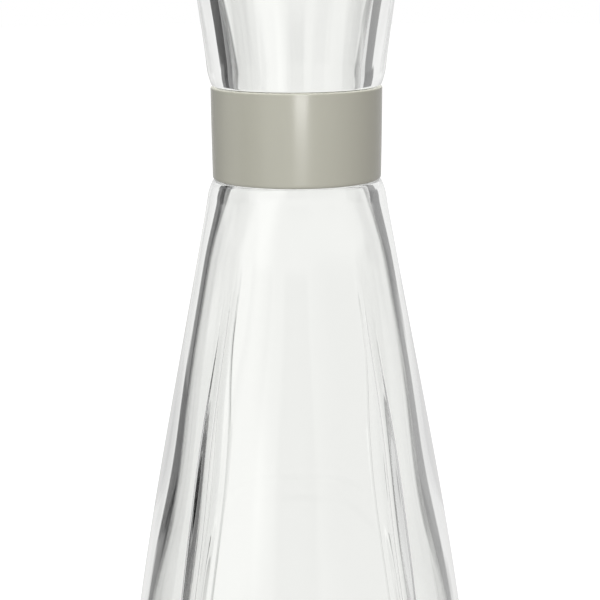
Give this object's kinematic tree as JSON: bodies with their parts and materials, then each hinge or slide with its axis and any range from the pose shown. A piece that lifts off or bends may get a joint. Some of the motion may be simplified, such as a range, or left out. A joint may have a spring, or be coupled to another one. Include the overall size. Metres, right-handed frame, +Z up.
{
  "type": "carafe",
  "caption": "Tall clear glass carafe: soft-sided cone, drawn-in waist with a turning elastomer band, and a funnel mouth.",
  "frame": {"origin": "centre of the foot, on the surface that the carafe stands on", "axes": "+Z up along the axis of the glass; -Y towards the side of the body that faces the picture's camera"},
  "size_m": [0.1104, 0.1104, 0.285],
  "materials": {
    "glass": "clear, polished",
    "band": "warm stone grey elastomer, satin"
  },
  "bodies": {
    "glass": {"glass_body": "glass"},
    "band": {"neck_band": "band"}
  },
  "joints": [
    {"name": "band_turn", "type": "hinge", "parent": "glass", "child": "band", "pos_m": [0, 0, 0.194], "axis": [0, 0, 1], "continuous": true}
  ]
}
